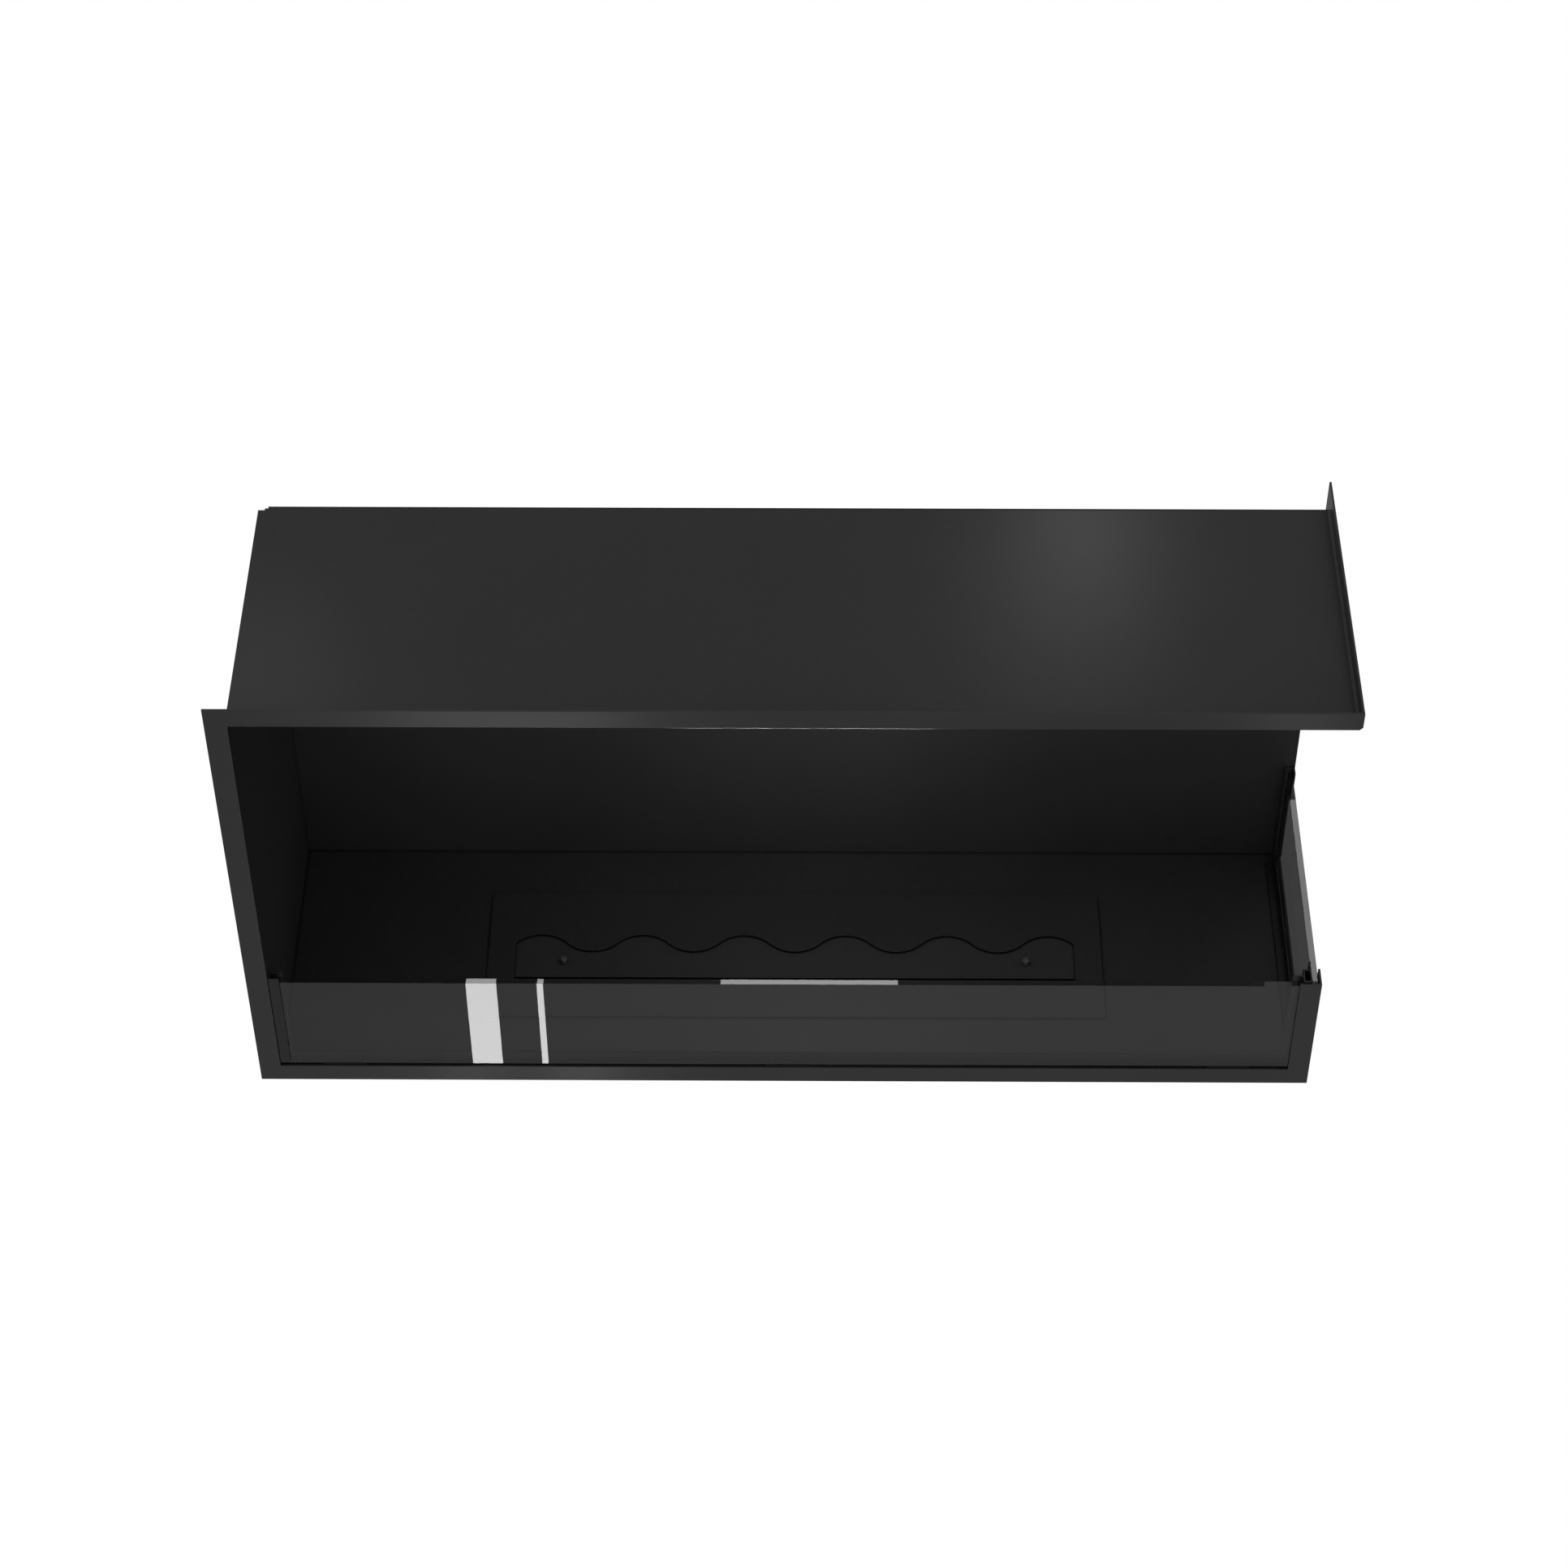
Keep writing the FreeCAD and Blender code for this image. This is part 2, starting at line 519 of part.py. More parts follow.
PARTS = {
    "front_frame": front_frame,
    "side_frame": side_frame,
    "top_panel": top_panel,
    "back_panel": back_panel,
    "left_side_panel": left_side_panel,
    "floor_panel": floor_panel,
    "burner_well": burner_well,
    "glass_channel_left": glass_channel_left,
    "glass_channel_rear": glass_channel_rear,
    "glass_channel_corner": glass_channel_corner,
    "front_glass_rail": front_glass_rail,
    "side_glass_rail": side_glass_rail,
    "front_glass_pads": front_glass_pads,
    "side_glass_pads": side_glass_pads,
    "front_glass": front_glass,
    "side_glass": side_glass,
    "burner_cover": burner_cover,
    "burner_box": burner_box,
    "fuel_tank": fuel_tank,
    "flame_slot_plate": flame_slot_plate,
    "ceramic_wool": ceramic_wool,
    "damper": damper,
    "damper_rail_left": lambda: damper_rail("left"),
    "damper_rail_right": lambda: damper_rail("right"),
    "damper_knob_left": lambda: damper_knob("left"),
    "damper_knob_right": lambda: damper_knob("right"),
    "knob_screws": knob_screws,
}

os.makedirs("parts", exist_ok=True)
for name, make in PARTS.items():
    shape = make()
    if not shape.isValid():
        raise ValueError(name + " is not a valid shape")
    shape.exportStep("parts/" + name + ".step")
    print(name, len(shape.Solids), round(shape.Volume, 1))
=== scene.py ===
"""Looks of a built-in bioethanol fireplace insert: powder-coated casing, glass guards, burner and damper."""

import logging
import math
from dataclasses import dataclass, field
from enum import Enum
from typing import Iterable, Sequence

import bmesh
import bpy
from mathutils import Matrix, Vector


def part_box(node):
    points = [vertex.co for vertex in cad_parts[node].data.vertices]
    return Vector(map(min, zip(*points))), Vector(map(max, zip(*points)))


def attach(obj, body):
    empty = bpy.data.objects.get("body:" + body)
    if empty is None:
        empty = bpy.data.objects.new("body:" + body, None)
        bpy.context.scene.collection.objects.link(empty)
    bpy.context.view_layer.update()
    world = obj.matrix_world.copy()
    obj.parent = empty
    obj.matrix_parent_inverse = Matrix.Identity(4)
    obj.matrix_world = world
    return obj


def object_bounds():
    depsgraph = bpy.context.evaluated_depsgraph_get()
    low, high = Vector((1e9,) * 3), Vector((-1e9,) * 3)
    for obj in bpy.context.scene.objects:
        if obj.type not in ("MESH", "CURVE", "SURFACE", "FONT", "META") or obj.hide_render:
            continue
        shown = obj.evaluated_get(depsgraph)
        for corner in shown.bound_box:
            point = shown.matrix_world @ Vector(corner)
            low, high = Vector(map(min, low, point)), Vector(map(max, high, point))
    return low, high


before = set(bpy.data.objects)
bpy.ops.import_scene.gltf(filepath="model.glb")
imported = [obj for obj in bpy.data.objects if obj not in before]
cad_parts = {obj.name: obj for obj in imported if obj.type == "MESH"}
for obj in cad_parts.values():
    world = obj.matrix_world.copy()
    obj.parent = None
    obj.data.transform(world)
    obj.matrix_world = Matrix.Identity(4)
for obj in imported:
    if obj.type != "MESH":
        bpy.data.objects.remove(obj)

LOG = logging.getLogger("fireplace")
CAD_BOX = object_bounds()
MM = 0.001
Colour = tuple[float, float, float, float]
Range = tuple[float, float]


def grey(value: float) -> Colour:
    """Return a neutral opaque colour of one linear value."""
    return (value, value, value, 1.0)


# ---------------------------------------------------------------- shared colours
# The next colour is the near-black of painted shade in corners and on upright cut faces.
SHADE_BLACK = grey(0.004)
RUBBED_EDGE = grey(0.085)
BRIGHT_EDGE = grey(0.72)
DUST: Colour = (0.16, 0.155, 0.145, 1.0)
FIBRE_SHADE: Colour = (0.66, 0.63, 0.57, 1.0)
FIBRE_LIGHT: Colour = (0.86, 0.85, 0.82, 1.0)
FIBRE_SCORCH: Colour = (0.42, 0.37, 0.30, 1.0)
SILICONE_DARK = grey(0.018)
SILICONE_LIGHT = grey(0.034)

# ---------------------------------------------------------------- shared measures
NOISE_SPREAD = (0.3, 0.7)
TOOL_MARK_GRAIN = 900.0


# ---------------------------------------------------------------- node tree helpers
class Canvas:
    """A node tree that places and links nodes by short calls."""

    def __init__(self, tree: bpy.types.NodeTree) -> None:
        """Keep the tree that the nodes go into."""
        self.tree = tree

    def node(self, kind: str, **settings: object) -> bpy.types.Node:
        """Add one node.

        Args:
            kind: The node's class name.
            settings: Properties to set on it, by their Python names.

        Returns:
            The new node.
        """
        made = self.tree.nodes.new(kind)
        for name, value in settings.items():
            setattr(made, name, value)
        return made

    def feed(self, socket: bpy.types.NodeSocket, value: object) -> None:
        """Link an output socket to an input, or set the input's own value.

        Args:
            socket: The input socket.
            value: An output socket, or a plain value.
        """
        if isinstance(value, bpy.types.NodeSocket):
            self.tree.links.new(value, socket)
        else:
            socket.default_value = value

    def math(
        self, operation: str, first: object, second: object = 0.0, clamp: bool = False
    ) -> bpy.types.NodeSocket:
        """Combine two values.

        Args:
            operation: The Math node's operation.
            first: A socket or a number.
            second: A socket or a number.
            clamp: Whether the result is held between 0 and 1.

        Returns:
            The result's socket.
        """
        made = self.node("ShaderNodeMath", operation=operation, use_clamp=clamp)
        self.feed(made.inputs[0], first)
        self.feed(made.inputs[1], second)
        return made.outputs[0]

    def mix_colour(self, share: object, first: object, second: object) -> bpy.types.NodeSocket:
        """Blend two colours.

        Args:
            share: How much of the second colour shows.
            first: A colour or its socket.
            second: A colour or its socket.

        Returns:
            The blended colour's socket.
        """
        made = self.node("ShaderNodeMix", data_type="RGBA")
        self.feed(made.inputs["Factor"], share)
        self.feed(made.inputs["A"], first)
        self.feed(made.inputs["B"], second)
        return made.outputs["Result"]

    def remap(
        self, value: object, low: object, high: float, to_low: float = 0.0, to_high: float = 1.0
    ) -> bpy.types.NodeSocket:
        """Map a value from one range onto another, held at its ends.

        Args:
            value: A socket or a number.
            low: Where the input range starts.
            high: Where the input range ends.
            to_low: What low becomes.
            to_high: What high becomes.

        Returns:
            The mapped value's socket.
        """
        made = self.node("ShaderNodeMapRange")
        self.feed(made.inputs["Value"], value)
        self.feed(made.inputs["From Min"], low)
        self.feed(made.inputs["From Max"], high)
        self.feed(made.inputs["To Min"], to_low)
        self.feed(made.inputs["To Max"], to_high)
        return made.outputs["Result"]

    def noise(
        self, scale: object, detail: float = 2.0, stretch: Sequence[float] = (1.0, 1.0, 1.0)
    ) -> bpy.types.NodeSocket:
        """Add noise over the object's own coordinates.

        Args:
            scale: Noise cells in a metre, as a number or a socket.
            detail: How many finer layers it has.
            stretch: How the coordinates are scaled along each axis.

        Returns:
            The noise value's socket.
        """
        place = self.node("ShaderNodeTexCoord")
        mapping = self.node("ShaderNodeMapping")
        mapping.inputs["Scale"].default_value = stretch
        self.feed(mapping.inputs["Vector"], place.outputs["Object"])
        made = self.node("ShaderNodeTexNoise")
        self.feed(made.inputs["Vector"], mapping.outputs["Vector"])
        self.feed(made.inputs["Scale"], scale)
        made.inputs["Detail"].default_value = detail
        return made.outputs["Fac"]


class EffectGroup:
    """A shared effect: a shader node group with named inputs and outputs, built once."""

    name = "effect"
    inputs: dict[str, float] = {}
    outputs: tuple[str, ...] = ()

    def tree(self) -> bpy.types.NodeTree:
        """Return the group's node tree, building it the first time."""
        known = bpy.data.node_groups.get(self.name)
        if known is not None:
            return known
        tree = bpy.data.node_groups.new(self.name, "ShaderNodeTree")
        for label, default in self.inputs.items():
            socket = tree.interface.new_socket(name=label, in_out="INPUT", socket_type="NodeSocketFloat")
            socket.default_value = default
        for label in self.outputs:
            tree.interface.new_socket(name=label, in_out="OUTPUT", socket_type="NodeSocketFloat")
        canvas = Canvas(tree)
        entry = canvas.node("NodeGroupInput")
        leave = canvas.node("NodeGroupOutput")
        for label, socket in self.wire(canvas, entry).items():
            canvas.feed(leave.inputs[label], socket)
        return tree

    def wire(self, canvas: Canvas, entry: bpy.types.Node) -> dict[str, bpy.types.NodeSocket]:
        """Wire the effect.

        Args:
            canvas: The group's node tree.
            entry: The group's input node.

        Returns:
            The socket that feeds each named output.
        """
        raise NotImplementedError

    def place(self, canvas: Canvas, **values: float) -> bpy.types.Node:
        """Put the group into a material.

        Args:
            canvas: The material's node tree.
            values: The group's inputs for this material, with _ for a space.

        Returns:
            The group node, with the effect's outputs.
        """
        made = canvas.node("ShaderNodeGroup", node_tree=self.tree())
        for label, value in values.items():
            made.inputs[label.replace("_", " ").title()].default_value = value
        return made


class OrangePeel(EffectGroup):
    """The fine skin of a baked powder coat, with slow cloudy patches under it."""

    name = "orange_peel"
    inputs = {"Grain": 620.0, "Cloud": 5.0}
    outputs = ("Height", "Cloudiness")
    speckle_ratio = 3.3
    speckle_share = 0.35

    def wire(self, canvas: Canvas, entry: bpy.types.Node) -> dict[str, bpy.types.NodeSocket]:
        """Wire the skin.

        Args:
            canvas: The group's node tree.
            entry: The group's input node.

        Returns:
            The skin's height and the patches' strength.
        """
        skin = canvas.noise(entry.outputs["Grain"], detail=3.0)
        speckle_grain = canvas.math("MULTIPLY", entry.outputs["Grain"], self.speckle_ratio)
        speckle = canvas.noise(speckle_grain, detail=1.0)
        height = canvas.math("ADD", skin, canvas.math("MULTIPLY", speckle, self.speckle_share))
        cloud = canvas.noise(entry.outputs["Cloud"], detail=4.0)
        return {"Height": height, "Cloudiness": cloud}


class EdgeWear(EffectGroup):
    """A mask that is 1 on sharp outer edges, where the coat thins and catches light."""

    name = "edge_wear"
    inputs = {"Radius": 0.0012, "Breakup": 60.0}
    outputs = ("Mask",)
    turned: Range = (0.98, 0.80)
    patches: Range = (0.35, 0.65)
    least = 0.35

    def wire(self, canvas: Canvas, entry: bpy.types.Node) -> dict[str, bpy.types.NodeSocket]:
        """Wire the mask.

        Args:
            canvas: The group's node tree.
            entry: The group's input node.

        Returns:
            The mask.
        """
        rounded = canvas.node("ShaderNodeBevel", samples=4)
        canvas.feed(rounded.inputs["Radius"], entry.outputs["Radius"])
        plain = canvas.node("ShaderNodeNewGeometry")
        turn = canvas.node("ShaderNodeVectorMath", operation="DOT_PRODUCT")
        canvas.feed(turn.inputs[0], rounded.outputs["Normal"])
        canvas.feed(turn.inputs[1], plain.outputs["Normal"])
        edge = canvas.remap(turn.outputs["Value"], *self.turned)
        broken = canvas.noise(entry.outputs["Breakup"], detail=4.0)
        patchy = canvas.remap(broken, *self.patches, self.least, 1.0)
        return {"Mask": canvas.math("MULTIPLY", edge, patchy, clamp=True)}


class DustFilm(EffectGroup):
    """A mask of the thin dust that settles on faces that look up."""

    name = "dust_film"
    inputs = {"Amount": 0.1, "Grain": 260.0}
    outputs = ("Mask",)
    facing_up: Range = (0.5, 1.0)
    specks: Range = (0.45, 0.75)
    least = 0.25

    def wire(self, canvas: Canvas, entry: bpy.types.Node) -> dict[str, bpy.types.NodeSocket]:
        """Wire the mask.

        Args:
            canvas: The group's node tree.
            entry: The group's input node.

        Returns:
            The mask.
        """
        faces = canvas.node("ShaderNodeNewGeometry")
        parts = canvas.node("ShaderNodeSeparateXYZ")
        canvas.feed(parts.inputs["Vector"], faces.outputs["Normal"])
        upward = canvas.remap(parts.outputs["Z"], *self.facing_up)
        grains = canvas.noise(entry.outputs["Grain"], detail=5.0)
        specks = canvas.remap(grains, *self.specks, self.least, 1.0)
        film = canvas.math("MULTIPLY", upward, specks)
        return {"Mask": canvas.math("MULTIPLY", film, entry.outputs["Amount"], clamp=True)}


class CreviceShade(EffectGroup):
    """A mask of painted shade where one sheet meets another, stronger where the corner is more occluded."""

    name = "painted_crevice_shade"
    inputs = {"Reach": 0.003, "Amount": 1.0, "Start": 0.75}
    outputs = ("Mask",)
    full = 0.40

    def wire(self, canvas: Canvas, entry: bpy.types.Node) -> dict[str, bpy.types.NodeSocket]:
        """Wire the mask.

        Args:
            canvas: The group's node tree.
            entry: The group's input node.

        Returns:
            The mask.
        """
        hollow = canvas.node("ShaderNodeAmbientOcclusion", samples=6)
        canvas.feed(hollow.inputs["Distance"], entry.outputs["Reach"])
        corner = canvas.remap(hollow.outputs["AO"], entry.outputs["Start"], self.full)
        return {"Mask": canvas.math("MULTIPLY", corner, entry.outputs["Amount"], clamp=True)}


class CutEdgeShade(EffectGroup):
    """A mask of painted shade on the upright faces that a cutting beam leaves on a lying sheet, streaked
    along the cut.
    """

    name = "cut_edge_shade"
    inputs = {"Amount": 1.0, "Grain": TOOL_MARK_GRAIN}
    outputs = ("Mask",)
    standing: Range = (0.75, 0.25)
    drag_stretch = (1.0, 1.0, 0.1)
    least = 0.8

    def wire(self, canvas: Canvas, entry: bpy.types.Node) -> dict[str, bpy.types.NodeSocket]:
        """Wire the mask.

        Args:
            canvas: The group's node tree.
            entry: The group's input node.

        Returns:
            The mask.
        """
        faces = canvas.node("ShaderNodeNewGeometry")
        parts = canvas.node("ShaderNodeSeparateXYZ")
        canvas.feed(parts.inputs["Vector"], faces.outputs["Normal"])
        upright = canvas.remap(canvas.math("ABSOLUTE", parts.outputs["Z"]), *self.standing)
        lines = canvas.noise(entry.outputs["Grain"], stretch=self.drag_stretch)
        striped = canvas.math("MULTIPLY", upright, canvas.remap(lines, *NOISE_SPREAD, self.least, 1.0))
        return {"Mask": canvas.math("MULTIPLY", striped, entry.outputs["Amount"], clamp=True)}


class BrushMarks(EffectGroup):
    """Long fine scratches along X, as on brushed sheet."""

    name = "brush_marks"
    inputs = {"Grain": TOOL_MARK_GRAIN}
    outputs = ("Height", "Streak")
    fine_stretch = (0.012, 1.0, 1.0)
    broad_stretch = (0.03, 1.0, 1.0)
    broad_ratio = 0.2
    fine_share = 0.6

    def wire(self, canvas: Canvas, entry: bpy.types.Node) -> dict[str, bpy.types.NodeSocket]:
        """Wire the scratches.

        Args:
            canvas: The group's node tree.
            entry: The group's input node.

        Returns:
            The scratches' height and their strength.
        """
        fine = canvas.noise(entry.outputs["Grain"], stretch=self.fine_stretch)
        broad_grain = canvas.math("MULTIPLY", entry.outputs["Grain"], self.broad_ratio)
        broad = canvas.noise(broad_grain, stretch=self.broad_stretch)
        streak = canvas.math("ADD", canvas.math("MULTIPLY", fine, self.fine_share), broad)
        return {"Height": fine, "Streak": streak}


# ---------------------------------------------------------------- finishes
class Shine(Enum):
    """How smooth a powder coat has flowed out, as its roughness."""

    SATIN = 0.33
    SILK = 0.38
    MATT = 0.46


def new_material(name: str) -> tuple[bpy.types.Material, Canvas, bpy.types.Node]:
    """Start a material with one Principled node.

    Args:
        name: The material's name.

    Returns:
        The material, its canvas and its Principled node.
    """
    made = bpy.data.materials.new(name)
    made.use_nodes = True
    canvas = Canvas(made.node_tree)
    made.node_tree.nodes.clear()
    shader = canvas.node("ShaderNodeBsdfPrincipled")
    output = canvas.node("ShaderNodeOutputMaterial")
    canvas.feed(output.inputs["Surface"], shader.outputs["BSDF"])
    return made, canvas, shader


def add_bump(canvas: Canvas, shader: bpy.types.Node, height: object, depth: float, strength: float) -> None:
    """Feed a height into the shader's normal.

    Args:
        canvas: The material's node tree.
        shader: The Principled node.
        height: The height's socket.
        depth: The height of a full step, in metres.
        strength: How much of it shows.
    """
    bump = canvas.node("ShaderNodeBump")
    bump.inputs["Strength"].default_value = strength
    bump.inputs["Distance"].default_value = depth
    canvas.feed(bump.inputs["Height"], height)
    canvas.feed(shader.inputs["Normal"], bump.outputs["Normal"])


@dataclass(frozen=True)
class PowderCoat:
    """Black powder coat on sheet steel."""

    name: str
    tone: float
    shine: Shine
    grain: float = 620.0
    peel_depth: float = 0.00006
    peel_strength: float = 0.45
    wear: float = 0.35
    wear_radius: float = 0.0009
    wear_breakup: float = 70.0
    wear_polish: float = 0.12
    dust: float = 0.05
    dust_grain: float = 240.0
    dust_dulling: float = 0.5
    cloudiness: float = 0.10
    cloud_grain: float = 5.0
    cloud_dulling: float = 0.02
    # Painted shade where sheets meet: its strength, its reach in metres and the occlusion at which it
    # starts.
    crevice_shade: float = 0.6
    crevice_shade_reach: float = 0.003
    crevice_shade_start: float = 0.75
    # Painted shade on the upright cut faces, such as the wave edges.
    cut_edge_shade: float = 0.0

    def material(self) -> bpy.types.Material:
        """Return the coat's material."""
        made, canvas, shader = new_material(self.name)
        peel = OrangePeel().place(canvas, grain=self.grain, cloud=self.cloud_grain)
        wear = EdgeWear().place(canvas, radius=self.wear_radius, breakup=self.wear_breakup)
        dust = DustFilm().place(canvas, amount=self.dust, grain=self.dust_grain)
        cloud = peel.outputs["Cloudiness"]
        low, high = self.tone * (1 - self.cloudiness), self.tone * (1 + self.cloudiness)
        coat = canvas.mix_colour(canvas.remap(cloud, *NOISE_SPREAD), grey(low), grey(high))
        dusty = canvas.mix_colour(dust.outputs["Mask"], coat, DUST)
        thin = canvas.math("MULTIPLY", wear.outputs["Mask"], self.wear)
        worn = canvas.mix_colour(thin, dusty, RUBBED_EDGE)
        # Painted shade: the crevice mask darkens corners where sheets meet, and the cut-edge mask darkens
        # upright cut faces, both towards near-black.
        crevice = CreviceShade().place(
            canvas, reach=self.crevice_shade_reach, amount=self.crevice_shade, start=self.crevice_shade_start
        )
        painted_shade = crevice.outputs["Mask"]
        if self.cut_edge_shade > 0:
            edge_shade = CutEdgeShade().place(canvas, amount=self.cut_edge_shade, grain=TOOL_MARK_GRAIN)
            painted_shade = canvas.math("MAXIMUM", painted_shade, edge_shade.outputs["Mask"])
        canvas.feed(shader.inputs["Base Color"], canvas.mix_colour(painted_shade, worn, SHADE_BLACK))
        # The painted shade also turns Metallic on, so the near-black takes the gloss away there too.
        canvas.feed(shader.inputs["Metallic"], painted_shade)
        smooth, dull = self.shine.value - self.cloud_dulling, self.shine.value + self.cloud_dulling
        patches = canvas.remap(cloud, *NOISE_SPREAD, smooth, dull)
        dulled = canvas.math("MULTIPLY", dust.outputs["Mask"], self.dust_dulling)
        rough = canvas.math("ADD", patches, dulled)
        polished = canvas.math("MULTIPLY", thin, self.wear_polish)
        canvas.feed(shader.inputs["Roughness"], canvas.math("SUBTRACT", rough, polished))
        add_bump(canvas, shader, peel.outputs["Height"], self.peel_depth, self.peel_strength)
        return made


@dataclass(frozen=True)
class GuardGlass:
    """Clear tempered float glass, seen straight through, with its polish as a clear coat."""

    name: str = "guard_glass"
    tint: Colour = (0.90, 0.915, 0.91, 1.0)
    pale_tint: Colour = (0.93, 0.94, 0.935, 1.0)
    body_ior: float = 1.02
    polish_ior: float = 1.76
    lamp_share: float = 0.92
    smear_grain: float = 9.0
    smear_spread: Range = (0.35, 0.75)
    smear_roughness: float = 0.012
    melt_grain: float = 2.5

    def material(self) -> bpy.types.Material:
        """Return the glass, which lets lamp light through to what stands behind it."""
        made, canvas, shader = new_material(self.name)
        wiped = canvas.noise(self.smear_grain, detail=5.0)
        smear = canvas.remap(wiped, *self.smear_spread, 0.0, self.smear_roughness)
        melt = canvas.remap(canvas.noise(self.melt_grain), *NOISE_SPREAD)
        body = canvas.mix_colour(melt, self.tint, self.pale_tint)
        canvas.feed(shader.inputs["Base Color"], body)
        canvas.feed(shader.inputs["Roughness"], smear)
        shader.inputs["Metallic"].default_value = 0.0
        shader.inputs["Transmission Weight"].default_value = 1.0
        shader.inputs["IOR"].default_value = self.body_ior
        faces = canvas.node("ShaderNodeNewGeometry")
        canvas.feed(shader.inputs["Coat Weight"], canvas.math("SUBTRACT", 1.0, faces.outputs["Backfacing"]))
        shader.inputs["Coat Roughness"].default_value = 0.0
        shader.inputs["Coat IOR"].default_value = self.polish_ior
        rays = canvas.node("ShaderNodeLightPath")
        lamp_ray = canvas.math("MULTIPLY", rays.outputs["Is Shadow Ray"], self.lamp_share)
        clear = canvas.node("ShaderNodeBsdfTransparent")
        blend = canvas.node("ShaderNodeMixShader")
        canvas.feed(blend.inputs["Fac"], lamp_ray)
        canvas.feed(blend.inputs[1], shader.outputs["BSDF"])
        canvas.feed(blend.inputs[2], clear.outputs["BSDF"])
        canvas.feed(made.node_tree.get_output_node("ALL").inputs["Surface"], blend.outputs["Shader"])
        return made


@dataclass(frozen=True)
class BrushedSteel:
    """Brushed stainless steel sheet."""

    name: str
    tone: float = 0.52
    roughness: float = 0.32
    smoother: float = 0.06
    duller: float = 0.08
    shade: float = 0.86
    warmth: float = 0.97
    streaks: Range = (0.5, 1.1)
    mark_depth: float = 0.00002
    mark_strength: float = 0.4
    wear_radius: float = 0.0006
    wear_breakup: float = 120.0

    def material(self) -> bpy.types.Material:
        """Return the steel's material."""
        made, canvas, shader = new_material(self.name)
        marks = BrushMarks().place(canvas, grain=TOOL_MARK_GRAIN)
        wear = EdgeWear().place(canvas, radius=self.wear_radius, breakup=self.wear_breakup)
        streak = canvas.remap(marks.outputs["Streak"], *self.streaks)
        warm: Colour = (self.tone, self.tone, self.tone * self.warmth, 1.0)
        steel = canvas.mix_colour(streak, grey(self.tone * self.shade), warm)
        canvas.feed(shader.inputs["Base Color"], canvas.mix_colour(wear.outputs["Mask"], steel, BRIGHT_EDGE))
        smooth, dull = self.roughness - self.smoother, self.roughness + self.duller
        canvas.feed(shader.inputs["Roughness"], canvas.remap(streak, 0.0, 1.0, smooth, dull))
        shader.inputs["Metallic"].default_value = 1.0
        add_bump(canvas, shader, marks.outputs["Height"], self.mark_depth, self.mark_strength)
        return made


@dataclass(frozen=True)
class CeramicWool:
    """Pressed white ceramic fibre."""

    name: str = "ceramic_wool"
    strand_grain: float = 420.0
    strand_stretch: tuple[float, float, float] = (0.35, 1.0, 0.6)
    strand_spread: Range = (0.35, 0.7)
    clump_grain: float = 55.0
    scorched: Range = (0.52, 0.75)
    scorch: float = 0.35
    roughness: Range = (0.86, 1.0)
    fluff_depth: float = 0.0012
    fluff_strength: float = 0.8

    def material(self) -> bpy.types.Material:
        """Return the fibre's material."""
        made, canvas, shader = new_material(self.name)
        strands = canvas.noise(self.strand_grain, detail=8.0, stretch=self.strand_stretch)
        clumps = canvas.noise(self.clump_grain, detail=4.0)
        lightness = canvas.remap(strands, *self.strand_spread)
        fibre = canvas.mix_colour(lightness, FIBRE_SHADE, FIBRE_LIGHT)
        scorch = canvas.remap(clumps, *self.scorched, 0.0, self.scorch)
        canvas.feed(shader.inputs["Base Color"], canvas.mix_colour(scorch, fibre, FIBRE_SCORCH))
        canvas.feed(shader.inputs["Roughness"], canvas.remap(strands, *NOISE_SPREAD, *self.roughness))
        height = canvas.math("ADD", strands, clumps)
        add_bump(canvas, shader, height, self.fluff_depth, self.fluff_strength)
        return made


@dataclass(frozen=True)
class Silicone:
    """Black silicone pad."""

    name: str = "pad_silicone"
    skin_grain: float = 700.0
    skin_depth: float = 0.00005
    skin_strength: float = 0.5
    roughness: Range = (0.55, 0.72)

    def material(self) -> bpy.types.Material:
        """Return the silicone's material."""
        made, canvas, shader = new_material(self.name)
        skin = canvas.noise(self.skin_grain, detail=3.0)
        canvas.feed(shader.inputs["Base Color"], canvas.mix_colour(skin, SILICONE_DARK, SILICONE_LIGHT))
        canvas.feed(shader.inputs["Roughness"], canvas.remap(skin, *NOISE_SPREAD, *self.roughness))
        add_bump(canvas, shader, skin, self.skin_depth, self.skin_strength)
        return made


# ---------------------------------------------------------------- dressing of the CAD nodes
@dataclass(frozen=True)
class EdgeRound:
    """The small round that a cut, deburred or polished edge has."""

    radius: float
    segments: int = 2
    sharpest_angle: float = 30.0
    seam: float = 0.01 * MM

    def put_on(self, piece: bpy.types.Object) -> None:
        """Round the piece's sharp edges with modifiers and keep its faces flat.

        Args:
            piece: The object to round.
        """
        weld = piece.modifiers.new("joined_seams", "WELD")
        weld.merge_threshold = self.seam
        bevel = piece.modifiers.new("edge_round", "BEVEL")
        bevel.width = self.radius
        bevel.segments = self.segments
        bevel.limit_method = "ANGLE"
        bevel.angle_limit = math.radians(self.sharpest_angle)
        bevel.harden_normals = True


TRIM_EDGE = EdgeRound(0.4 * MM, 3)
PLATE_EDGE = EdgeRound(0.4 * MM)
SHEET_EDGE = EdgeRound(0.3 * MM)
FINE_EDGE = EdgeRound(0.2 * MM)
PAD_EDGE = EdgeRound(0.2 * MM, 1)
WOOL_EDGE = EdgeRound(1.5 * MM, 3)


